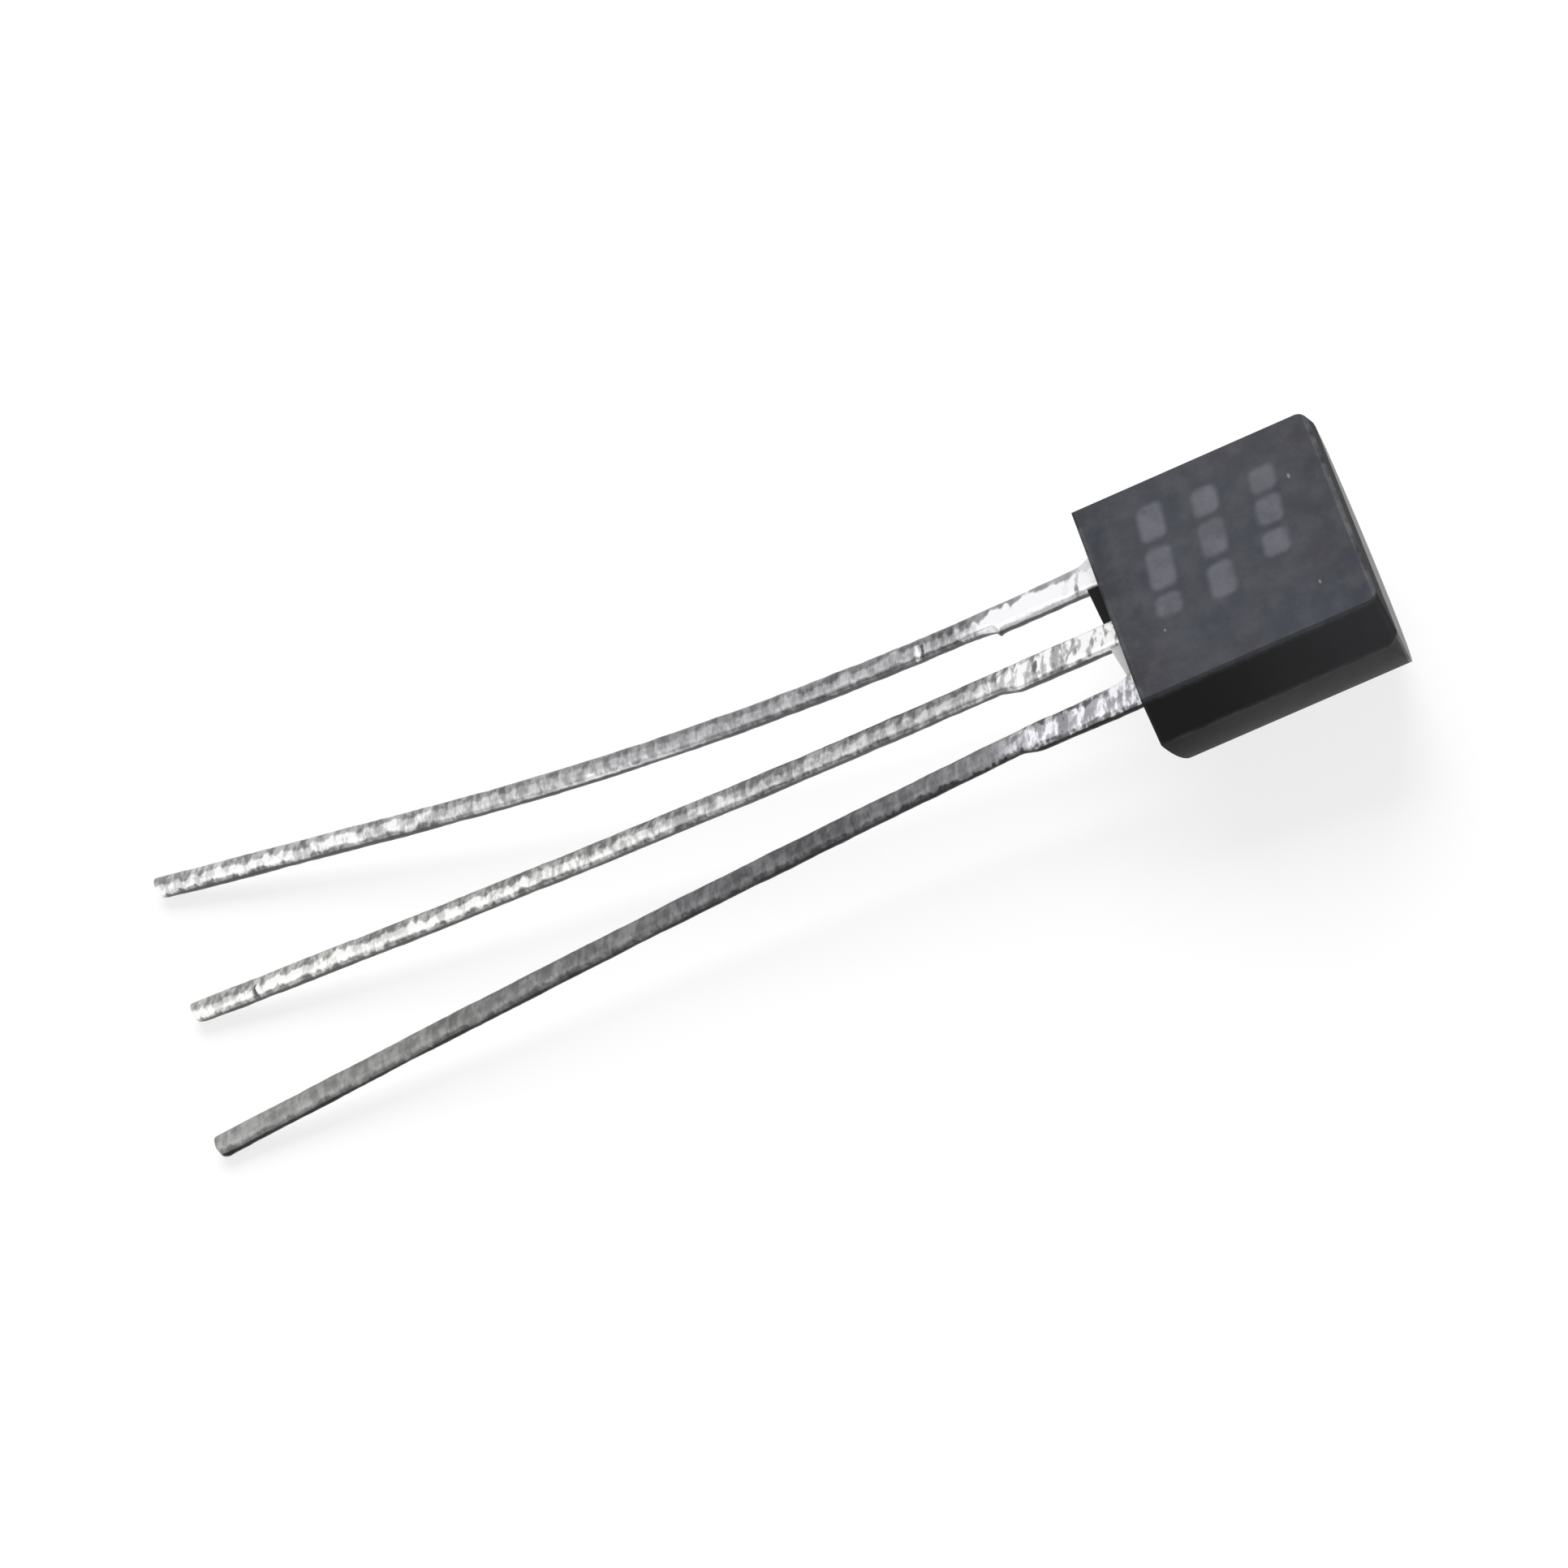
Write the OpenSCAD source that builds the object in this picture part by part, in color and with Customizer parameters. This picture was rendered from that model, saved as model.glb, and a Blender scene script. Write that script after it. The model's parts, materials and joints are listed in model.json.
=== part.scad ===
// Small-signal transistor: a moulded body on three flat stamped leads,
// lying on its round back with the marked flat upwards and the lead tips touching the surface.

/* [Moulded body] */
// Height of the body along the leads
body_h = 4.45; // [3.8:0.05:5.4]
// Width at the parting line, which is also the diameter of the round back
body_w = 4.98; // [4.8:0.02:5.6]
// Width of the marked flat
flat_w = 4.1; // [3.4:0.05:4.4]
// Distance from the marked flat to the parting line
flat_depth = 0.9; // [0.8:0.05:1.4]
// Angle by which the two ends draw in on the front half, in degrees
front_draft_angle = 2; // [1:0.5:8]
// Angle by which the top end draws in on the round half, in degrees
top_draft_angle = 1.5; // [0.5:0.5:12]
// Angle by which the end at the leads draws in on the round half, in degrees
foot_draft_angle = 11.5; // [2:0.5:12]
// Radius of the corners beside the top end
corner_r = 0.28; // [0.1:0.02:0.4]

/* [Resin webs between the leads] */
// Thickness of the thin webs that the mould left between the leads
web_t = 0.2; // [0.1:0.02:0.28]
// Height of the left web where it meets the middle of the left lead
left_web_outer_h = 0.28; // [0.05:0.01:0.4]
// Height of the left web where it meets the middle of the centre lead
left_web_inner_h = 0.18; // [0.05:0.01:0.4]
// Height of the right web where it meets the middle of the centre lead
right_web_inner_h = 0.29; // [0.05:0.01:0.4]
// Height of the right web where it meets the middle of the right lead
right_web_outer_h = 0.07; // [0.05:0.01:0.4]

/* [Leads] */
// Distance between neighbouring leads at the body
pitch = 1.27; // [1.2:0.01:1.4]
// Thickness of the lead strip
lead_t = 0.36; // [0.3:0.01:0.5]
// Width of the slim part of a lead
lead_w = 0.38; // [0.3:0.01:0.5]
// Width of the stout part next to the body
root_w = 0.5; // [0.5:0.01:0.65]
// Length of the stout part
root_len = 1.95; // [1:0.05:3]
// Length of the leads below the body before each is trimmed
lead_len = 17.9; // [16.6:0.05:20]
// Length trimmed from the left lead
left_trim = 0.15; // [0:0.05:1]
// Length trimmed from the centre lead
centre_trim = 0.2; // [0:0.05:1]
// Length trimmed from the right lead
right_trim = 0; // [0:0.05:1]
// Length of the slope that ends the stout part of the left lead
left_slope_len = 0.06; // [0.02:0.02:0.3]
// Length of the slope that ends the stout part of the centre lead
centre_slope_len = 0.36; // [0.1:0.02:0.6]
// Length of the slope that ends the stout part of the right lead
right_slope_len = 0.34; // [0.1:0.02:0.6]
// Width of the flare where an outer lead leaves the body
flare_w = 0.12; // [0:0.01:0.2]
// Length of that flare
flare_len = 0.26; // [0.1:0.02:0.6]
// Height of the burr that the trimming tool left on the left lead
burr_h = 0.05; // [0.01:0.01:0.1]
// Radius of the rolled corner at each sheared tip
tip_r = 0.14; // [0.05:0.01:0.18]

/* [Bends of the leads] */
// Final splay angle of the left lead, in degrees
left_splay_angle = 10.6; // [0:0.1:14]
// Distance below the body where the left lead starts bending
left_bend_start = 2.3; // [2:0.1:6]
// Distance below the body where the left lead stops bending
left_bend_stop = 12.8; // [8:0.1:15]
// Final splay angle of the centre lead, in degrees
centre_splay_angle = 2.7; // [0:0.1:5]
// Distance below the body where the centre lead starts bending
centre_bend_start = 3; // [2:0.1:6]
// Distance below the body where the centre lead stops bending
centre_bend_stop = 14.8; // [8:0.1:15]
// Angle of the right lead just below its stout part, in degrees
right_first_angle = 3; // [0:0.1:6]
// Final splay angle of the right lead, in degrees
right_splay_angle = 4.8; // [0:0.1:10]
// Distance below the body where the right lead starts bending further
right_bend_start = 4.5; // [2:0.1:6]
// Distance below the body where the right lead stops bending
right_bend_stop = 15.4; // [8:0.1:15.5]

/* [Inside the body] */
// Width and height of the paddle that carries the die
paddle = [1.5, 1.5];
// Height of the paddle's lower edge above the bottom of the body
paddle_z = 2.0; // [1.8:0.05:2.2]
// Depth of the lock notch in each side of the paddle
notch = 0.2; // [0.1:0.02:0.3]
// Height of the foot of the bonding post on each outer lead
post_h = 0.5; // [0.3:0.05:0.6]
// Gap between a bonding post and the centre lead with its paddle
post_gap = 0.25; // [0.15:0.05:0.4]
// Side of the square die
die_w = 0.6; // [0.3:0.05:1]
// Thickness of the die
die_t = 0.2; // [0.1:0.01:0.25]
// Thickness of the die attach layer
attach_t = 0.03; // [0.01:0.01:0.05]
// Margin of the die attach around the die
attach_margin = 0.04; // [0:0.01:0.1]
// Diameter of the bond wires
wire_d = 0.05; // [0.03:0.01:0.08]
// Rise of each wire's loop above its chord
loop_rise = 0.2; // [0.1:0.02:0.3]
// Diameter of the pressed ends of a bond wire
bond_d = 0.12; // [0.1:0.01:0.2]
// Thickness of the pressed ends of a bond wire
bond_t = 0.03; // [0.02:0.01:0.05]

/* [Hidden] */
$fn = 72;

back_r = body_w / 2;
front_rise = flat_depth * tan(front_draft_angle);
top_rise = back_r * tan(top_draft_angle);
foot_rise = back_r * tan(foot_draft_angle);
margin = 1;

left_len = lead_len - left_trim;
centre_len = lead_len - centre_trim;
right_len = lead_len - right_trim;

// The bends of the leads: first angle, last angle, where the bend starts and where it stops
left_shape = [0, -left_splay_angle, left_bend_start, left_bend_stop];
centre_shape = [0, -centre_splay_angle, centre_bend_start, centre_bend_stop];
right_shape = [right_first_angle, right_splay_angle, right_bend_start, right_bend_stop];
left_x = -pitch;
centre_x = 0;
right_x = pitch;

// The part lies where the edge of its round back and its lead tips touch one plane
longest_len = max(left_len, centre_len, right_len);
rest_tilt = atan((back_r - lead_t / 2) / (longest_len + foot_rise));
rest_z = back_r * cos(rest_tilt) - foot_rise * sin(rest_tilt);
far_x = max(body_h * cos(rest_tilt), (body_h - top_rise) * cos(rest_tilt) + back_r * sin(rest_tilt));
near_x = -longest_len * cos(rest_tilt) - lead_t / 2 * sin(rest_tilt);
side_left = max(back_r, -edge_x(left_x, left_shape, left_len, -1));
side_right = max(back_r, edge_x(right_x, right_shape, right_len, 1));

// Heights of the layers that are stacked on the paddle, measured towards the flat
strip_y = -lead_t / 2;
die_y = strip_y - attach_t;
die_top_y = die_y - die_t;
die_z = paddle_z + paddle[1] / 2;
pad_x = die_w / 4;

// Stout parts, paddle and posts share a middle that lies a little to the right of the slim leads
stout_x = (root_w - lead_w) / 2;
post_in = root_w / 2 + post_gap;
post_out = pitch + root_w / 2;
post_z = paddle_z - post_gap - post_h;
stitch_x = post_in + post_h / 2;
stitch_z = post_z + post_h / 2;

// How far a lead has moved sideways at depth d, from the angle it starts with and its one even bend
function turn(d, from, to) = max(0, min(d, to) - from);
function lean(s, d) =
    let (span = s[3] - s[2], bent = turn(d, s[2], s[3]), past = max(0, d - s[3]),
         gain = tan(s[1]) - tan(s[0]))
    tan(s[0]) * max(0, d - root_len) + gain * bent * bent / (2 * span) + gain * past;
// Local angle of a lead at depth d
function angle_at(s, d) =
    d < root_len ? 0 : s[0] + (s[1] - s[0]) * turn(d, s[2], s[3]) / (s[3] - s[2]);
// One long edge of the slim lead, on side -1 or 1
function edge_x(x, s, d, side) = x + lean(s, d) + side * lead_w / (2 * cos(angle_at(s, d)));
// Depths at which the edge of a lead is drawn, from one depth to another
function depths(from, to, steps) = [for (i = [0 : steps]) from + (to - from) * i / steps];

// Turns the part from upright to lying, with its origin under the middle of its box
module lie() {
    translate([-(far_x + near_x) / 2, (side_right - side_left) / 2, rest_z])
        rotate([0, -rest_tilt, 0])
            rotate([-90, 0, 0])
                rotate([0, 90, 0])
                    children();
}

// Stamped outline of a lead below the body, drawn with the tip downwards
module strip_outline(x, s, len, slope_len, flare, burr) {
    bend_steps = 22;
    slope_end = root_len + slope_len;
    tip_edge = edge_x(x, s, len, 1);
    left_edge = [for (d = depths(flare_len, len, bend_steps)) [edge_x(x, s, d, -1), -d]];
    tip = [for (a = [0 : 15 : 90]) [tip_edge - tip_r + tip_r * sin(a), tip_r - len - tip_r * cos(a)]];
    right_edge = [for (d = depths(len - tip_r, slope_end, bend_steps)) [edge_x(x, s, d, 1), -d]];
    root_right = x - lead_w / 2 + root_w;
    root = [[root_right + burr, -root_len], [root_right, burr - root_len], [root_right, 0]];
    inner = [[root_right, flare_len], [x - lead_w / 2 - flare, flare_len], [x - lead_w / 2 - flare, 0]];
    polygon(concat(left_edge, tip, [for (i = [1 : bend_steps]) right_edge[i]], root, inner));
}

// Bar from one side to the other, standing on z
module bar(from_x, to_x, z, h) {
    translate([stout_x + from_x, z])
        square([to_x - from_x, h]);
}

// Paddle with a lock notch in each side
module paddle_outline() {
    difference() {
        bar(-paddle[0] / 2, paddle[0] / 2, paddle_z, paddle[1]);
        for (side = [-1, 1])
            translate([stout_x + side * paddle[0] / 2, die_z])
                circle(r = notch);
    }
}

// Stretch of a lead from the bottom of the body up to what it carries
module neck_outline(x, h) {
    bar(x - root_w / 2, x + root_w / 2, 0, h);
}

// Bonding post of an outer lead: a neck that ends in a foot reaching inwards
module post_outline(side) {
    neck_outline(side * pitch, stitch_z);
    bar(min(side * post_in, side * post_out), max(side * post_in, side * post_out), post_z, post_h);
}

// Stands a flat outline up in the plane of the leads and gives it the thickness of the strip
module stamp() {
    rotate([90, 0, 0])
        linear_extrude(height = lead_t, center = true)
            children();
}

module left_lead_strip() {
    stamp() {
        strip_outline(left_x, left_shape, left_len, left_slope_len, flare_w, burr_h);
        post_outline(-1);
    }
}

module centre_lead_strip() {
    stamp() {
        strip_outline(centre_x, centre_shape, centre_len, centre_slope_len, 0, 0);
        neck_outline(centre_x, die_z);
        paddle_outline();
    }
}

module right_lead_strip() {
    stamp() {
        strip_outline(right_x, right_shape, right_len, right_slope_len, flare_w, 0);
        post_outline(1);
    }
}

module attach_layer() {
    attach_w = die_w + 2 * attach_margin;
    translate([stout_x - attach_w / 2, die_y, die_z - attach_w / 2])
        cube([attach_w, attach_t, attach_w]);
}

module die_block() {
    translate([stout_x - die_w / 2, die_top_y, die_z - die_w / 2])
        cube([die_w, die_t, die_w]);
}

// Pressed end of a wire, standing on a surface that faces the flat
module pressed_end(x, y, z) {
    translate([stout_x + x, y, z])
        rotate([90, 0, 0])
            cylinder(d = bond_d, h = bond_t);
}

// Bond wire: one circular loop from a pad on the die to the bonding post on the same side
module wire_loop(side) {
    run = [side * (stitch_x - pad_x), stitch_z - die_z];
    span = norm(run);
    high = -die_top_y;
    low = -strip_y;
    chord = norm([span, high - low]);
    loop_r = (chord * chord / 4 + loop_rise * loop_rise) / (2 * loop_rise);
    sink = loop_r - loop_rise;
    mid = [span / 2, (high + low) / 2];
    centre = mid - sink / chord * [high - low, span];
    first = atan2(low - centre[1], span - centre[0]);
    last = atan2(high - centre[1], -centre[0]);
    difference() {
        translate([stout_x + side * pad_x, 0, die_z])
            rotate([0, -atan2(run[1], run[0]), 0])
                rotate([180, 0, 0])
                    translate([centre[0], centre[1], 0])
                        rotate([0, 0, first - 2])
                            rotate_extrude(angle = last - first + 4)
                                translate([loop_r, 0])
                                    circle(d = wire_d, $fn = 24);
        die_block();
        left_lead_strip();
        right_lead_strip();
    }
    pressed_end(side * pad_x, die_top_y, die_z);
    pressed_end(side * stitch_x, strip_y, stitch_z);
}

// Top view of the body: the marked flat between two side facets, and half a circle behind them
module top_view() {
    linear_extrude(height = body_h) {
        polygon([[-flat_w / 2, -flat_depth], [flat_w / 2, -flat_depth], [back_r, 0], [-back_r, 0]]);
        difference() {
            circle(r = back_r);
            translate([-body_w, -2 * body_w])
                square(2 * body_w);
        }
    }
}

// Front view of the body: square at the leads, with its two top corners rounded
module front_view() {
    rotate([90, 0, 0])
        linear_extrude(height = 2 * body_w, center = true) {
            translate([-back_r, 0])
                square([body_w, body_h - corner_r]);
            translate([corner_r - back_r, 0])
                square([body_w - 2 * corner_r, body_h]);
            for (side = [-1, 1])
                translate([side * (back_r - corner_r), body_h - corner_r])
                    circle(r = corner_r);
        }
}

// Side view of the body: both halves draw in from the parting line towards the two ends
module side_view() {
    rotate([90, 0, 90])
        linear_extrude(height = body_w + 2 * margin, center = true)
            polygon([[-flat_depth, front_rise], [0, 0], [back_r, foot_rise],
                     [back_r, body_h - top_rise], [0, body_h], [-flat_depth, body_h - front_rise]]);
}

// Thin resin web in the plane of the leads, hanging from the body between two of them
module resin_web(from_x, to_x, from_h, to_h) {
    rotate([90, 0, 0])
        linear_extrude(height = web_t, center = true)
            polygon([[from_x, -from_h], [to_x, -to_h], [to_x, web_t], [from_x, web_t]]);
}

module moulded_body() {
    color("#3c4046")
        lie()
            difference() {
                union() {
                    intersection() {
                        top_view();
                        front_view();
                        side_view();
                    }
                    resin_web(left_x, centre_x, left_web_outer_h, left_web_inner_h);
                    resin_web(centre_x, right_x, right_web_inner_h, right_web_outer_h);
                }
                left_lead_strip();
                centre_lead_strip();
                right_lead_strip();
                attach_layer();
                die_block();
                wire_loop(-1);
                wire_loop(1);
            }
}

module left_lead() {
    color("#b9b9b7")
        lie()
            left_lead_strip();
}

module centre_lead() {
    color("#b9b9b7")
        lie()
            centre_lead_strip();
}

module right_lead() {
    color("#b9b9b7")
        lie()
            right_lead_strip();
}

module silicon_die() {
    color("#5d6472")
        lie()
            die_block();
}

module die_attach() {
    color("#8f9296")
        lie()
            attach_layer();
}

module left_bond_wire() {
    color("#d8a24a")
        lie()
            wire_loop(-1);
}

module right_bond_wire() {
    color("#d8a24a")
        lie()
            wire_loop(1);
}

moulded_body();
left_lead();
centre_lead();
right_lead();
silicon_die();
die_attach();
left_bond_wire();
right_bond_wire();
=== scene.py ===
import json
import math
import bpy
from mathutils import Matrix, Vector

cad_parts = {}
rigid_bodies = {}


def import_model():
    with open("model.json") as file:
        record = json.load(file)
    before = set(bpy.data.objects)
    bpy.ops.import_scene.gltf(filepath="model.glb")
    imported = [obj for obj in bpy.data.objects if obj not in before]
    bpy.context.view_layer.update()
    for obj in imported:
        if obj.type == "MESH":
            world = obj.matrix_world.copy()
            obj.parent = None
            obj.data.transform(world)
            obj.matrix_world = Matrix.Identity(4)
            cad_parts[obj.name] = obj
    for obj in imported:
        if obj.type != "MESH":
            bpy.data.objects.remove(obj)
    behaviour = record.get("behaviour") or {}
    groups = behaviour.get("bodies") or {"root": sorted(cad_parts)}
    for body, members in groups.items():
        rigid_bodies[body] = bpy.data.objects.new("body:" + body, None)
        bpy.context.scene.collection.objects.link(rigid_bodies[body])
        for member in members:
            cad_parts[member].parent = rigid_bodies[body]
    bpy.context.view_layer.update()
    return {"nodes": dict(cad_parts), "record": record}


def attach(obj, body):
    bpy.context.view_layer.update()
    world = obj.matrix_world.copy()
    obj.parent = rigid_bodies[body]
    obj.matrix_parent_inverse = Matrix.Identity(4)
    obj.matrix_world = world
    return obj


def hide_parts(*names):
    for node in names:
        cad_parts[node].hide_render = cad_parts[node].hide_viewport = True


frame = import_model()
scene = bpy.context.scene
nodes = frame["nodes"]
metre = 1000.0  # millimetres
print("frame loaded")

# Package frame: x to the right of the flat, y away from the flat, z from the leads to the top end
mounts = {m["name"]: m for m in frame["record"]["mounts"]}
flatNormal = Vector(mounts["marked_flat"]["axis"]).normalized()
leadDirection = Vector(mounts["board_leads"]["axis"]).normalized()
packageOrigin = Vector(mounts["board_leads"]["pos_m"])
across = (-flatNormal).cross(-leadDirection).normalized()
packageTurn = Matrix((across, -flatNormal, -leadDirection)).transposed()
packageToRow = Matrix.Translation(packageOrigin) @ packageTurn.to_4x4()
rowToPackage = packageToRow.inverted()


# Modelling helpers; every piece is shaped in millimetres in the package frame

def activate(obj):
    for o in bpy.context.view_layer.objects:
        o.select_set(False)
    obj.select_set(True)
    bpy.context.view_layer.objects.active = obj


def editOn(obj):
    activate(obj)
    bpy.ops.object.mode_set(mode="EDIT")
    bpy.ops.mesh.select_mode(type="EDGE")
    bpy.ops.mesh.select_all(action="SELECT")


def editOff():
    bpy.ops.object.mode_set(mode="OBJECT")


def applyPlace(obj):
    activate(obj)
    bpy.ops.object.transform_apply(location=True, rotation=True, scale=True)


def applyModifier(obj, kind, **settings):
    activate(obj)
    modifier = obj.modifiers.new(kind.title(), kind)
    for name, value in settings.items():
        setattr(modifier, name, value)
    bpy.ops.object.modifier_apply(modifier=modifier.name)


def cutWith(obj, tool, operation):
    applyModifier(obj, "BOOLEAN", operation=operation, solver="EXACT", object=tool)
    bpy.data.objects.remove(tool)


# Selects the edges whose two ends pass a test, in edit mode
def selectEdges(obj, wanted):
    bpy.ops.mesh.select_all(action="DESELECT")
    editOff()
    points = obj.data.vertices
    for edge in obj.data.edges:
        edge.select = wanted(points[edge.vertices[0]].co, points[edge.vertices[1]].co)
    bpy.ops.object.mode_set(mode="EDIT")


def addCube(low, high):
    bpy.ops.mesh.primitive_cube_add(size=1, location=[(a + b) / 2 for a, b in zip(low, high)])
    cube = bpy.context.object
    cube.scale = [b - a for a, b in zip(low, high)]
    applyPlace(cube)
    return cube


def packagePoints(node):
    return [metre * (rowToPackage @ v.co) for v in nodes[node].data.vertices]


def finishPiece(obj, name, node, material):
    obj.name = name
    obj.data.name = name
    obj.matrix_world = packageToRow @ Matrix.Scale(1 / metre, 4)
    applyPlace(obj)
    obj.data.materials.clear()
    obj.data.materials.append(material)
    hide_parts(node)
    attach(obj, "root")


# Shader helper: a socket that can be added, multiplied and compared like a number

class Wire:
    def __init__(self, tree, socket):
        self.tree = tree
        self.socket = socket

    # Any node, by its type, its settings, what goes into it and which output is wanted
    def add(self, kind, settings=None, inputs=None, output=0):
        node = self.tree.nodes.new(kind)
        for name, value in (settings or {}).items():
            if name == "stops":
                ramp = node.color_ramp.elements
                while len(ramp) < len(value):
                    ramp.new(0.5)
                for element, (place, level) in zip(ramp, value):
                    element.position = place
                    element.color = (level, level, level, 1.0)
            else:
                setattr(node, name, value)
        for key, value in (inputs or {}).items():
            if isinstance(value, Wire):
                self.tree.links.new(value.socket, node.inputs[key])
            else:
                node.inputs[key].default_value = value
        return Wire(self.tree, node.outputs[output])

    def math(self, operation, *values):
        return self.add("ShaderNodeMath", {"operation": operation}, dict(enumerate(values)))

    def __add__(self, other):
        return self.math("ADD", self, other)

    def __sub__(self, other):
        return self.math("SUBTRACT", self, other)

    def __rsub__(self, other):
        return self.math("SUBTRACT", other, self)

    def __mul__(self, other):
        return self.math("MULTIPLY", self, other)

    def __pow__(self, other):
        return self.math("POWER", self, other)

    __radd__ = __add__
    __rmul__ = __mul__

    def size(self):
        return self.math("ABSOLUTE", self)

    def most(self, other):
        return self.math("MAXIMUM", self, other)

    def least(self, other):
        return self.math("MINIMUM", self, other)

    # 0 below low, 1 above high, smooth between
    def rise(self, low, high):
        return self.add("ShaderNodeMapRange", {"interpolation_type": "SMOOTHSTEP"},
                        {"Value": self, "From Min": low, "From Max": high})

    # 1 at a place, 0 beyond a half width on either side of it
    def near(self, place, half):
        return 1.0 - (self - place).size().rise(half * 0.5, half)

    def noise(self, scale, detail=2.0, roughness=0.5, distortion=0.0):
        return self.add("ShaderNodeTexNoise", None,
                        {"Vector": self, "Scale": scale, "Detail": detail,
                         "Roughness": roughness, "Distortion": distortion})

    def stretched(self, factors, shift=(0, 0, 0)):
        return self.add("ShaderNodeMapping", None, {"Vector": self, "Scale": factors, "Location": shift})

    def parts(self):
        split = self.add("ShaderNodeSeparateXYZ", None, {0: self})
        return [Wire(self.tree, s) for s in split.socket.node.outputs]

    def blend(self, first, second):
        return self * (second - first) + first

    def mix(self, first, second):
        return self.add("ShaderNodeMix", {"data_type": "RGBA"},
                        {0: self, 6: asColour(first), 7: asColour(second)}, output=2)

    def shade(self, colour):
        return self.add("ShaderNodeVectorMath", {"operation": "SCALE"},
                        {0: colour if isinstance(colour, Wire) else tuple(colour), "Scale": self})


def asColour(value):
    return value if isinstance(value, Wire) else (*value, 1.0)


def startMaterial(name, **constants):
    material = bpy.data.materials.new(name)
    material.use_nodes = True
    tree = material.node_tree
    shader = tree.nodes["Principled BSDF"]
    for socket, value in constants.items():
        shader.inputs[socket.replace("_", " ")].default_value = value
    return material, shader, Wire(tree, None)


# Place in the package frame, in millimetres
def packagePlace(start):
    here = start.add("ShaderNodeTexCoord", output=3)
    return here.add("ShaderNodeMapping", None,
                    {"Vector": here, "Location": rowToPackage.to_translation() * metre,
                     "Rotation": rowToPackage.to_euler(), "Scale": (metre, metre, metre)})


def feed(shader, socket, wire):
    wire.tree.links.new(wire.socket, shader.inputs[socket])


# A height in millimetres as a bumped normal
def bumped(height, strength):
    return height.add("ShaderNodeBump", None, {"Strength": strength, "Distance": 1 / metre, "Height": height})


# Moulded body

bodyShape = {
    "arcSteps": 192,
    "cornerRadius": 0.28,
    "cornerSteps": 14,
    "facetCorner": 0.19,  # rounding of the edge between a side facet and the top end
    "edge": 0.065,  # rounding of the outer edges
    "edgeSteps": 6,
    "sharpFrom": 32.0,  # degrees between two faces whose edge is rounded
    "smoothTo": 14.0,
    "overlap": 0.003,  # how far a cutting solid stands clear of a surface that it only touches
    "webSink": 0.3,  # how far a web reaches into the body and into the leads beside it
}


def measureBody():
    points = packagePoints("moulded_body")
    flatDepth = -min(p.y for p in points)
    onFlat = [p for p in points if p.y < 0.001 - flatDepth]
    backDepth = max(p.y for p in points)
    onBack = [p for p in points if p.y > backDepth - 0.001]
    height = max(p.z for p in points)
    return {
        "height": height,
        "radius": max(abs(p.x) for p in points),
        "flatDepth": flatDepth,
        "halfFlat": max(abs(p.x) for p in onFlat),
        "frontSlope": min(p.z for p in onFlat) / flatDepth,
        "footSlope": min(p.z for p in onBack) / backDepth,
        "topSlope": (height - max(p.z for p in onBack)) / backDepth,
    }


# Lowest edge of the web on one side: its two ends in x and z, and half its thickness
def measureWeb(side):
    low = [p for p in packagePoints("moulded_body") if p.z < -0.02 and p.x * side > 0]
    ends = [min(low, key=lambda p: p.x), max(low, key=lambda p: p.x)]
    bottoms = [min(p.z for p in low if abs(p.x - end.x) < 0.01) for end in ends]
    return [end.x for end in ends], bottoms, max(p.y for p in low)


def makeWeb(side):
    xs, zs, half = measureWeb(side)
    sink = bodyShape["webSink"]
    slope = (zs[1] - zs[0]) / (xs[1] - xs[0])
    web = addCube((xs[0] - sink / 2, -half, -1), (xs[1] + sink / 2, half, sink))
    editOn(web)
    bpy.ops.mesh.bisect(plane_co=(xs[0], 0, zs[0]), plane_no=(slope, 0, -1), use_fill=True, clear_outer=True)
    editOff()
    return web


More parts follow.
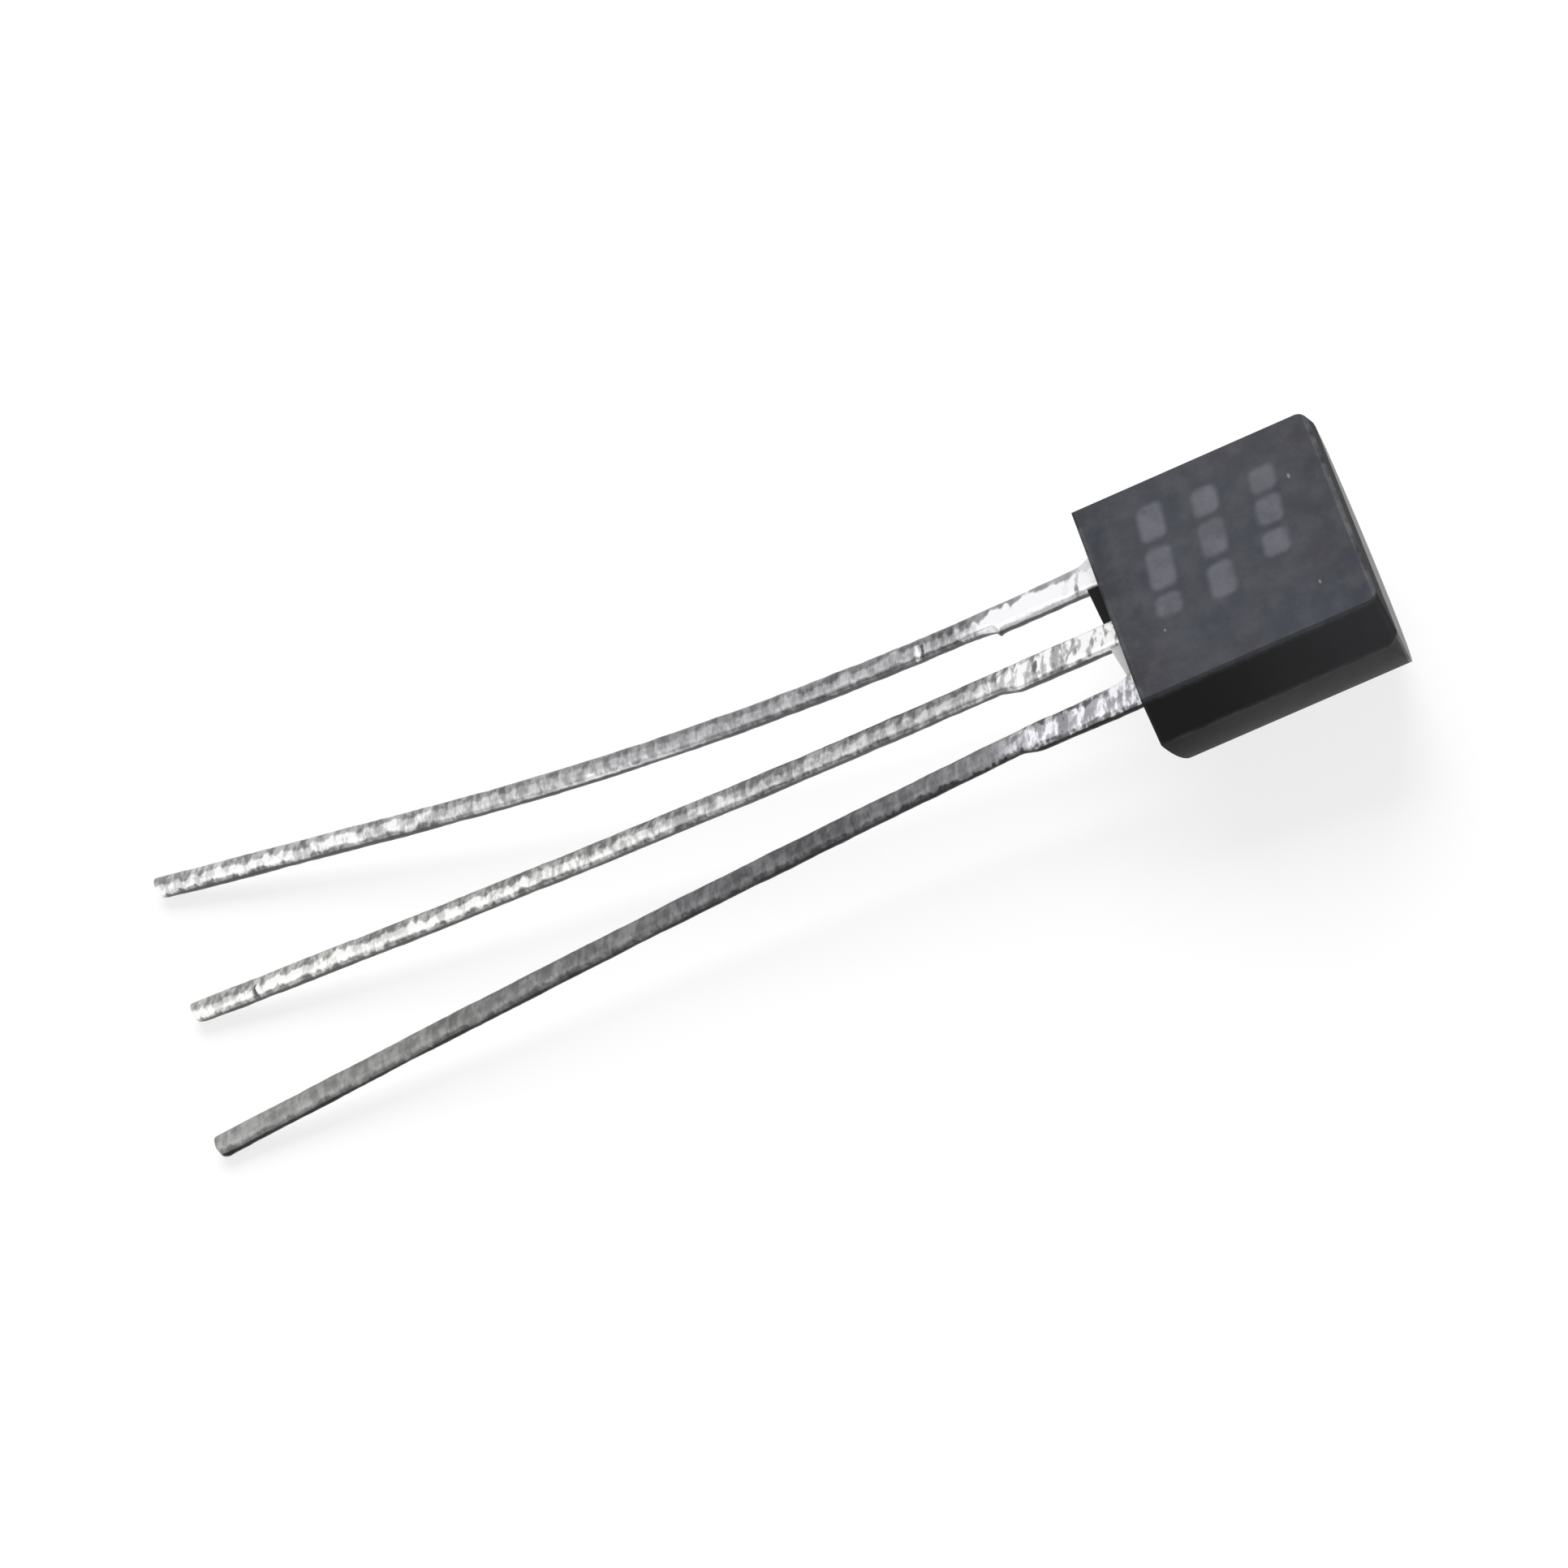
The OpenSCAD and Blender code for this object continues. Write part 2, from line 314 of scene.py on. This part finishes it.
def makeBody(body):
    shape = bodyShape
    height, radius, depth = body["height"], body["radius"], body["flatDepth"]
    facetLean = radius - body["halfFlat"]
    bpy.ops.mesh.primitive_cylinder_add(vertices=shape["arcSteps"], radius=radius, depth=height,
                                        location=(0, 0, height / 2))
    piece = bpy.context.object
    applyPlace(piece)
    planes = [
        ((0, -depth, 0), (0, -1, 0)),
        ((radius, 0, 0), (depth, -facetLean, 0)),
        ((-radius, 0, 0), (-depth, -facetLean, 0)),
        ((0, 0, height), (0, -body["frontSlope"], 1)),
        ((0, 0, 0), (0, -body["frontSlope"], -1)),
        ((0, 0, height), (0, body["topSlope"], 1)),
        ((0, 0, 0), (0, body["footSlope"], -1)),
    ]
    editOn(piece)
    for point, normal in planes:
        bpy.ops.mesh.select_all(action="SELECT")
        bpy.ops.mesh.bisect(plane_co=point, plane_no=normal, use_fill=True, clear_outer=True)
    selectEdges(piece, lambda a, b: min(a.z, b.z) > height / 2 and abs(a.y - b.y) > 0.98 * depth
                and abs(a.x + b.x) > 2 * body["halfFlat"])
    bpy.ops.mesh.bevel(offset=shape["facetCorner"], segments=10, clamp_overlap=False)
    editOff()
    clear = shape["overlap"]
    slab = addCube((-radius - clear, -2 * radius, -1), (radius + clear, 2 * radius, height + clear))
    editOn(slab)
    selectEdges(slab, lambda a, b: min(a.z, b.z) > height and abs(a.x - b.x) < 0.01)
    bpy.ops.mesh.bevel(offset=shape["cornerRadius"], segments=shape["cornerSteps"])
    editOff()
    cutWith(piece, slab, "INTERSECT")
    editOn(piece)
    bpy.ops.mesh.remove_doubles(threshold=0.0008)
    bpy.ops.mesh.dissolve_limited(angle_limit=math.radians(0.3))
    bpy.ops.mesh.select_all(action="DESELECT")
    bpy.ops.mesh.edges_select_sharp(sharpness=math.radians(shape["sharpFrom"]))
    bpy.ops.mesh.bevel(offset=shape["edge"], segments=shape["edgeSteps"], clamp_overlap=True)
    editOff()
    for side in (-1, 1):
        cutWith(piece, makeWeb(side), "UNION")
    activate(piece)
    bpy.ops.object.shade_smooth_by_angle(angle=math.radians(shape["smoothTo"]))
    applyModifier(piece, "WEIGHTED_NORMAL", keep_sharp=True, weight=80)
    return piece


# Moulding compound

compoundLook = {
    "flat": (0.039, 0.044, 0.055),
    "warmCast": (0.045, 0.045, 0.053),
    # painted shade: the side facets and the round back are darker copies of the flat's compound, darkest towards the
    # leads, the back a little lighter than the facets as painted bounce light from the floor
    "facet": (0.026, 0.026, 0.029),
    "facetFootShade": (0.001, 0.001, 0.0012),
    "back": (0.031, 0.031, 0.032),
    "backFootShade": (0.010, 0.010, 0.011),
    # painted shade on the bottom end of the body
    "foot": (0.012, 0.012, 0.012),
    # painted shade on the front half of the top end and painted light on its back half
    "frontTopShade": (0.020, 0.020, 0.021),
    "backTopLight": (0.040, 0.040, 0.041),
    "flash": (0.66, 0.66, 0.67),  # thin lighter resin on the right-hand web
    # lighter edges, partly real wear and partly a painted edge highlight
    "wornEdgeAndHighlight": (0.095, 0.097, 0.105),
    "mark": (0.185, 0.182, 0.215),
    "nick": (0.26, 0.27, 0.31),
    "roughness": 0.62,
    "grain": 26.0,  # grains per millimetre
}
# Etched pattern on the flat: rows of plain bars, each with its middle and its half width
etchedRows = [
    {"z": 3.18, "bars": [(-1.10, 0.24), (-0.46, 0.27), (0.20, 0.24)]},
    {"z": 2.12, "bars": [(-1.16, 0.27), (-0.40, 0.34), (0.46, 0.34)]},
    {"z": 1.12, "bars": [(-1.20, 0.36), (-0.26, 0.40), (0.50, 0.20)]},
]
etchedBar = {"halfHeight": 0.23, "corner": 0.13, "softness": 0.07, "tilt": -7.0}
# Small light nicks in the flat: middle in x and z, half width and half height
nicks = [(1.30, 3.60, 0.05, 0.030), (-0.94, 3.76, 0.07, 0.035), (0.95, 0.84, 0.045, 0.022)]


# The etched bars as a mask from 0 to 1
def etchedMask(point, x, z):
    drop = z - x * math.tan(math.radians(etchedBar["tilt"]))
    corner, soft = etchedBar["corner"], etchedBar["softness"]
    mask = None
    for row in etchedRows:
        tall = ((drop - row["z"]).size() - (etchedBar["halfHeight"] - corner)).most(0.0)
        for middle, half in row["bars"]:
            wide = ((x - middle).size() - (half - corner)).most(0.0)
            away = (tall * tall + wide * wide) ** 0.5 - corner
            bar = 1.0 - away.rise(-soft, soft)
            mask = bar if mask is None else mask.most(bar)
    wearAndHighlight = point.noise(1.6, 3.0, 0.6, 0.4).rise(0.30, 0.66)
    grit = point.noise(12.0, 3.0, 0.7)
    return mask * (0.12 + 0.22 * wearAndHighlight + 0.24 * grit)


def compoundMaterial(body):
    look = compoundLook
    depth, height = body["flatDepth"], body["height"]
    material, shader, start = startMaterial("mouldCompound", Metallic=0.0, IOR=1.5, Specular_IOR_Level=0.17)
    point = packagePlace(start)
    x, y, z = point.parts()
    front = 0.0 - y
    cloud = point.noise(0.9, 2.0, 0.5).rise(0.30, 0.70)
    fine = point.noise(look["grain"], 3.0, 0.7)
    drift = point.noise(2.2, 2.0, 0.5, 0.6)
    ragged = point.noise(9.0, 3.0, 0.7) - 0.5
    onFlat = (front + 0.12 * ragged).rise(depth - 0.15, depth - 0.01)
    behind = (y + 0.14 * ragged).rise(-0.09, 0.06)
    topLean = (front * body["frontSlope"]).most(y * body["topSlope"])
    footLean = (front * body["frontSlope"]).most(y * body["footSlope"])
    onTop = (z + topLean).rise(height - 0.06, height - 0.03)
    onFoot = 1.0 - (z - footLean).rise(0.03, 0.06)
    # painted shade on the facets and the back, deepening towards the leads
    facet = z.rise(0.6, 4.6).mix(look["facetFootShade"], look["facet"])
    back = z.rise(0.0, 2.0).mix(look["backFootShade"], look["back"])
    colour = behind.mix(facet, back)
    # painted shade: the flat darker towards the leads and towards the top end
    paintedFlatShade = 0.74 + 0.26 * z.rise(0.0, 0.9) - 0.16 * z.rise(3.4, 4.3)
    flat = paintedFlatShade.shade(cloud.mix(look["flat"], look["warmCast"]))
    colour = onFlat.mix(colour, flat)
    # painted shade on the bottom end
    colour = onFoot.mix(colour, look["foot"])
    # painted shade on the front half of the top end, painted light on its back half
    colour = onTop.mix(colour, behind.mix(look["frontTopShade"], look["backTopLight"]))
    # worn edges round the flat and along the parting line, lighter partly from real wear and partly as a painted edge
    # highlight
    flecks = point.noise(2.6, 3.0, 0.6).rise(0.35, 0.68)
    besideTop = (z + front * body["frontSlope"]).near(height - 0.03, 0.06)
    besideFoot = (z - front * body["frontSlope"]).near(0.03, 0.06)
    onCorner = front.near(depth - 0.015, 0.03)
    onRidge = front.near(depth - 0.03, 0.05)
    wearAndHighlight = onCorner * besideTop + 0.35 * onCorner * besideFoot + 0.35 * onRidge + 0.30 * y.near(0.0, 0.05)
    colour = (wearAndHighlight.least(1.0) * (0.25 + 0.75 * flecks)).mix(colour, look["wornEdgeAndHighlight"])
    # lighter flash on the web to the right of the centre lead
    web = (0.0 - z).rise(0.0, 0.03) * x.rise(-0.02, 0.02)
    colour = web.mix(colour, look["flash"])
    colour = (0.66 + 0.30 * fine + 0.38 * drift).shade(colour)
    colour = (etchedMask(point, x, z) * onFlat).mix(colour, look["mark"])
    for nickX, nickZ, wide, tall in nicks:
        away = ((x - nickX) * (1 / wide)).size() ** 2.0 + ((z - nickZ) * (1 / tall)).size() ** 2.0
        colour = (0.55 * (1.0 - away.rise(0.1, 1.0)) * onFlat).mix(colour, look["nick"])
    feed(shader, "Base Color", colour)
    ends = onTop * behind.blend(0.25, -0.24)
    feed(shader, "Roughness", look["roughness"] + 0.08 * fine + ends - 0.08 * point.noise(3.0))
    feed(shader, "Normal", bumped(0.006 * point.noise(look["grain"] * 0.6, 4.0, 0.75), 0.5))
    return material


bodySizes = measureBody()
bodyPiece = makeBody(bodySizes)
finishPiece(bodyPiece, "bodyShell", "moulded_body", compoundMaterial(bodySizes))
print("body made:", len(bodyPiece.data.polygons), "faces")


# Tinned leads

leadShape = {
    "edge": 0.16,  # rounding of the long edges
    "edgeSteps": 5,
    "voxel": 0.026,
    "smoothing": 12,
    "growth": 0.010,  # thickness of the tin
    "lumpSize": 0.9,
    "lumpHeight": 0.026,
    "rippleSize": 0.22,
    "rippleHeight": 0.014,
    "flareEnd": 0.3,  # above this depth the lead spreads and its edges stay crisp
    "step": 0.2,  # millimetres between two readings of a lead's left edge
    "litTurn": 33.4,  # degrees from the flat's side towards the side with the painted highlight band
}


# Writes, for each point, how far it lies down the lead and across it
def measureAlong(lead):
    step = leadShape["step"]
    points = lead.data.vertices
    deepest = -min(p.co.z for p in points)
    first, last = 3, int((deepest - 0.3) / step)
    edges = {}
    for p in points:
        key = round(-p.co.z / step)
        if first <= key <= last:
            edges[key] = min(edges.get(key, p.co.x), p.co.x)
    slim = [p.co.x for p in points if abs(p.co.z + deepest / 2) < 0.02]
    half = (max(slim) - min(slim)) / 2
    place = lead.data.attributes.new("leadPlace", "FLOAT_VECTOR", "POINT")
    for p in points:
        reading = min(max(-p.co.z / step, first), last)
        low = min(int(reading), last - 1)
        edge = edges[low] + (edges[low + 1] - edges[low]) * (reading - low)
        place.data[p.index].vector = (-p.co.z, p.co.x - edge - half, p.co.y)


def makeLead(node):
    shape = leadShape
    lead = nodes[node].copy()
    lead.data = nodes[node].data.copy()
    lead.parent = None
    scene.collection.objects.link(lead)
    lead.matrix_world = Matrix.Scale(metre, 4) @ rowToPackage
    applyPlace(lead)
    editOn(lead)
    bpy.ops.mesh.remove_doubles(threshold=0.0005)
    bpy.ops.mesh.dissolve_limited(angle_limit=math.radians(0.4))
    halfStrip = max(p.y for p in packagePoints(node))
    selectEdges(lead, lambda a, b: abs(a.y + b.y) > 1.98 * halfStrip and abs(a.z - b.z) > 0.6 * (a - b).length
                and min(a.z, b.z) < -shape["flareEnd"])
    bpy.ops.mesh.bevel(offset=shape["edge"], segments=shape["edgeSteps"], clamp_overlap=False)
    editOff()
    applyModifier(lead, "REMESH", mode="VOXEL", voxel_size=shape["voxel"], use_smooth_shade=True)
    applyModifier(lead, "SMOOTH", factor=0.5, iterations=shape["smoothing"])
    applyModifier(lead, "DISPLACE", strength=shape["growth"], mid_level=0.0)
    for size, height in ((shape["lumpSize"], shape["lumpHeight"]), (shape["rippleSize"], shape["rippleHeight"])):
        lumps = bpy.data.textures.new("tinLumps", "CLOUDS")
        lumps.noise_scale = size
        applyModifier(lead, "DISPLACE", texture=lumps, strength=height, mid_level=0.5)
    measureAlong(lead)
    return lead


# How bright the tin is painted across a lead, in three bands from its left-hand edge, by the distance below the body
# in millimetres: a grey upper band of painted reflection, a painted highlight in the middle, painted shade in the
# lower band and along the lower edge; the tone changes down the lead where the painted highlight comes and goes; marks
# are short strokes across, the light ones painted glints: place, half length, tone
leadLooks = {
    "left_lead": {  # painted highlight by the body, dull below the step, painted highlight again towards the tip
        "upper": [(0.25, 0.90), (0.5, 0.65), (2.1, 0.60), (2.7, 0.45), (17.0, 0.65)],
        "middle": [(2.1, 1.0), (2.8, 0.65), (9.5, 0.65), (15.5, 0.95)],
        "lower": [(0.4, 0.80), (2.1, 0.90), (2.5, 0.45), (6.0, 0.45), (9.0, 0.95), (12.5, 0.55)],
        "mosaic": [(1.4, 0.05), (2.4, 0.15), (8.0, 0.15), (13.0, 0.25)],
        "marks": [(0.35, 0.04, 0.60), (3.3, 0.035, 0.40), (3.4, 0.06, 1.0)],
        "edge": 0.34, "tint": (0.99, 0.99, 1.02), "farTint": (1.0, 1.0, 1.0), "roughness": 0.36, "shift": 0.0,
    },
    "centre_lead": {  # mottled by the body, then a painted highlight in the middle and grey at the sides
        "upper": [(0.5, 0.90), (2.1, 0.70), (2.8, 0.50), (17.0, 0.65)],
        "middle": [(0.0, 0.85), (2.1, 0.95), (2.7, 0.70), (6.5, 0.70), (13.0, 0.95)],
        "lower": [(2.1, 0.75), (4.5, 0.45), (17.0, 0.60)],
        "mosaic": [(0.0, 0.60), (2.2, 0.40), (2.7, 0.20), (13.0, 0.25)],
        "marks": [(1.15, 0.10, 0.60), (1.55, 0.07, 0.50), (16.45, 0.06, 0.40)],
        "edge": 0.34, "tint": (1.0, 1.0, 1.0), "farTint": (1.0, 1.0, 0.975), "roughness": 0.36, "shift": 31.0,
    },
    "right_lead": {  # mottled by the body, then dull grey
        "upper": [(0.1, 0.90), (1.0, 0.60), (2.2, 0.60), (6.0, 0.40), (17.0, 0.60)],
        "middle": [(1.7, 0.90), (2.7, 0.55), (5.5, 0.40), (17.0, 0.60)],
        "lower": [(0.5, 0.65), (2.1, 0.55), (2.5, 0.25), (17.0, 0.45)],
        "mosaic": [(0.0, 0.50), (2.0, 0.45), (2.7, 0.10)],
        "marks": [(1.4, 0.12, 0.40)],
        "edge": 0.16, "tint": (0.98, 0.98, 1.03), "farTint": (1.0, 0.995, 0.98), "roughness": 0.42, "shift": 67.0,
    },
}
tinLook = {
    "reach": 20.0,  # millimetres that the tone scales span
    "stoutEnd": 2.1,
    "upperSlim": -0.08,  # where the upper third gives way to the painted highlight of the middle, on the slim part and on the stout part
    "upperStout": -0.13,
    "lowerSlim": 0.095,  # where the lower third starts
    "lowerStout": 0.16,
    "edgeSlim": 0.148,  # where the painted shade of the lower edge starts
    "edgeStout": 0.228,
    "strokeLean": 0.3,
    "gamma": 2.2,
}


def tinMaterial(name, look):
    tin = tinLook
    material, shader, start = startMaterial(name, Metallic=1.0)
    place = start.add("ShaderNodeAttribute", {"attribute_name": "leadPlace"}, output=1)
    along, side, deep = place.parts()
    lit = math.radians(leadShape["litTurn"])
    seen = side * math.cos(lit) + deep * math.sin(lit)
    station = along - tin["strokeLean"] * side
    leaned = station.add("ShaderNodeCombineXYZ", None, {0: station + look["shift"], 1: side, 2: deep})
    cloud = leaned.stretched((1.7, 4.5, 4.5)).noise(1.0, 3.0, 0.6, 0.4) - 0.5
    scallop = leaned.stretched((4.2, 1.5, 1.5)).noise(1.0, 2.0, 0.6, 0.6) - 0.5
    mosaic = leaned.stretched((7.5, 3.4, 3.4)).noise(1.0, 3.0, 0.6, 0.25).rise(0.38, 0.62) - 0.5
    grain = leaned.stretched((16.0, 9.0, 9.0)).noise(1.0, 2.0, 0.6) - 0.5
    reading = station + 0.22 * cloud + 0.10 * scallop

    def tone(key):
        stops = [(mm / tin["reach"], level) for mm, level in look[key]]
        return reading.add("ShaderNodeValToRGB", {"stops": stops}, {0: reading * (1 / tin["reach"])})

    stout = 1.0 - along.rise(tin["stoutEnd"] - 0.1, tin["stoutEnd"] + 0.2)
    # painted bands across the lead: grey reflection above, a painted highlight in the middle, painted shade below
    edge = seen + 0.30 * scallop + 0.10 * cloud
    upperEnd = stout.blend(tin["upperSlim"], tin["upperStout"])
    middle = (edge - upperEnd).rise(-0.03, 0.03)
    value = middle.blend(tone("upper"), tone("middle"))
    lowStart = stout.blend(tin["lowerSlim"], tin["lowerStout"])
    value = (edge - lowStart).rise(-0.03, 0.03).blend(value, tone("lower"))
    value = value + tone("mosaic") * mosaic + 0.20 * cloud + 0.14 * scallop + 0.08 * grain
    # short strokes across the lead, the light ones painted glints
    for spot, half, level in look["marks"]:
        stroke = (station + 0.12 * cloud + 0.06 * grain).near(spot, half)
        value = (stroke * middle * (0.7 + 0.8 * mosaic)).blend(value, level)
    # painted shade along the lower edge
    edgeStart = stout.blend(tin["edgeSlim"], tin["edgeStout"])
    value = (seen - edgeStart + 0.05 * scallop).rise(-0.015, 0.03).blend(value, look["edge"])
    value = value.most(0.10).least(0.98) ** tin["gamma"]
    tint = along.rise(6.0, 14.0).mix(look["tint"], look["farTint"])
    feed(shader, "Base Color", value.shade(tint))
    feed(shader, "Roughness", look["roughness"] - 0.2 * cloud + 0.2 * scallop)
    feed(shader, "Normal", bumped(0.016 * cloud + 0.004 * grain, 0.6))
    return material


for node, look in leadLooks.items():
    lead = makeLead(node)
    pieceName = node.split("_")[0] + "LeadTinned"
    finishPiece(lead, pieceName, node, tinMaterial(pieceName + "Tin", look))
    print(pieceName, "made:", len(lead.data.polygons), "faces")


# Pieces sealed inside the body keep their solids and get their own finishes

def insideMaterial(name, base, metallic, roughness, scale, spread):
    material, shader, start = startMaterial(name, Metallic=metallic)
    grain = packagePlace(start).noise(scale, 3.0, 0.6)
    feed(shader, "Base Color", grain.mix(base, [c * (1 - spread) for c in base]))
    feed(shader, "Roughness", roughness * (1.0 - spread + 2 * spread * grain))
    return material


insideLooks = {
    "silicon_die": ("polishedSilicon", (0.11, 0.13, 0.17), 0.6, 0.12, 9.0, 0.15),
    "die_attach": ("silverAttach", (0.42, 0.42, 0.41), 0.8, 0.55, 30.0, 0.25),
    "left_bond_wire": ("leftGoldWire", (0.83, 0.60, 0.25), 1.0, 0.22, 40.0, 0.10),
    "right_bond_wire": ("rightGoldWire", (0.83, 0.60, 0.25), 1.0, 0.22, 40.0, 0.10),
}
for node, look in insideLooks.items():
    nodes[node].data.materials.clear()
    nodes[node].data.materials.append(insideMaterial(*look))
print("inside finished")


# Floor, light and camera

stageLook = {
    "floorSize": 1.2,
    "floorWhite": 0.92,
    "cameraGlow": 0.80,
    "worldFill": 0.30,
}
lamps = [
    {"name": "keySoftbox", "from": (0.03, 0.24, 0.28), "size": 0.30, "power": 2.1, "mirrored": False},
    {"name": "sideStrip", "from": (-0.04, -0.20, 0.165), "size": 0.20, "power": 0.05, "mirrored": True},
]
photoView = {
    "turn": 33.416,  # degrees from the flat's normal towards the right-hand lead
    "lift": 7.957,  # degrees towards the top end
    "roll": 23.611,
    "distance": 120.0,  # millimetres
    "lens": 159.78,
    "aimAcross": 0.099,
    "aimAlong": -6.345,
}


# How much a surface is seen by the camera, a reflection or a refraction
def seenDirectly(start):
    outputs = start.add("ShaderNodeLightPath").socket.node.outputs
    seen = Wire(start.tree, outputs["Is Camera Ray"])
    for ray in ("Is Glossy Ray", "Is Transmission Ray"):
        seen = seen.most(Wire(start.tree, outputs[ray]))
    return seen


def makeFloor():
    bpy.ops.mesh.primitive_plane_add(size=stageLook["floorSize"], location=(0, 0, -0.00002))
    floor = bpy.context.object
    floor.name = "paleFloor"
    material = bpy.data.materials.new("paleFloor")
    material.use_nodes = True
    tree = material.node_tree
    tree.nodes.remove(tree.nodes["Principled BSDF"])
    start = Wire(tree, None)
    white = (stageLook["floorWhite"],) * 3
    paint = start.add("ShaderNodeBsdfDiffuse", None, {"Color": (*white, 1.0)})
    glow = start.add("ShaderNodeEmission", None, {"Color": (1, 1, 1, 1), "Strength": 1.0})
    hole = start.add("ShaderNodeBsdfTransparent")
    lit = start.add("ShaderNodeMixShader", None, {0: seenDirectly(start) * stageLook["cameraGlow"], 1: paint, 2: glow})
    under = Wire(tree, start.add("ShaderNodeNewGeometry").socket.node.outputs["Backfacing"])
    both = start.add("ShaderNodeMixShader", None, {0: under, 1: lit, 2: hole})
    tree.links.new(both.socket, tree.nodes["Material Output"].inputs["Surface"])
    floor.data.materials.append(material)


def makeWorld():
    world = bpy.data.worlds.new("paleRoom")
    scene.world = world
    world.use_nodes = True
    tree = world.node_tree
    fill = stageLook["worldFill"]
    strength = fill + (1.0 - fill) * seenDirectly(Wire(tree, None))
    background = tree.nodes["Background"]
    background.inputs["Color"].default_value = (1, 1, 1, 1)
    tree.links.new(strength.socket, background.inputs["Strength"])


def makeLamps():
    for lamp in lamps:
        bpy.ops.object.light_add(type="AREA", location=lamp["from"])
        light = bpy.context.object
        light.name = lamp["name"]
        light.data.size = lamp["size"]
        light.data.energy = lamp["power"]
        light.rotation_euler = Vector(lamp["from"]).to_track_quat("Z", "Y").to_euler()
        light.visible_glossy = lamp["mirrored"]


def makeCamera():
    view = photoView
    turn, lift, roll = (math.radians(view[k]) for k in ("turn", "lift", "roll"))
    right = Vector((math.cos(turn), math.sin(turn), 0))
    back = Vector((math.sin(turn) * math.cos(lift), -math.cos(turn) * math.cos(lift), math.sin(lift)))
    up = back.cross(right)
    rolledRight = math.sin(roll) * right + math.cos(roll) * up
    rolledUp = -math.cos(roll) * right + math.sin(roll) * up
    aim = view["aimAcross"] * right + view["aimAlong"] * up
    place = (aim + view["distance"] * back) / metre
    bpy.ops.object.camera_add()
    camera = bpy.context.object
    turned = Matrix((rolledRight, rolledUp, back)).transposed().to_4x4()
    camera.matrix_world = packageToRow @ Matrix.Translation(place) @ turned
    camera.data.lens = view["lens"]
    camera.data.sensor_width = 36.0
    camera.data.clip_start = 0.002
    camera.data.clip_end = 10.0
    scene.camera = camera


makeFloor()
makeWorld()
makeLamps()
makeCamera()
scene.view_settings.view_transform = "Standard"
print("stage set")
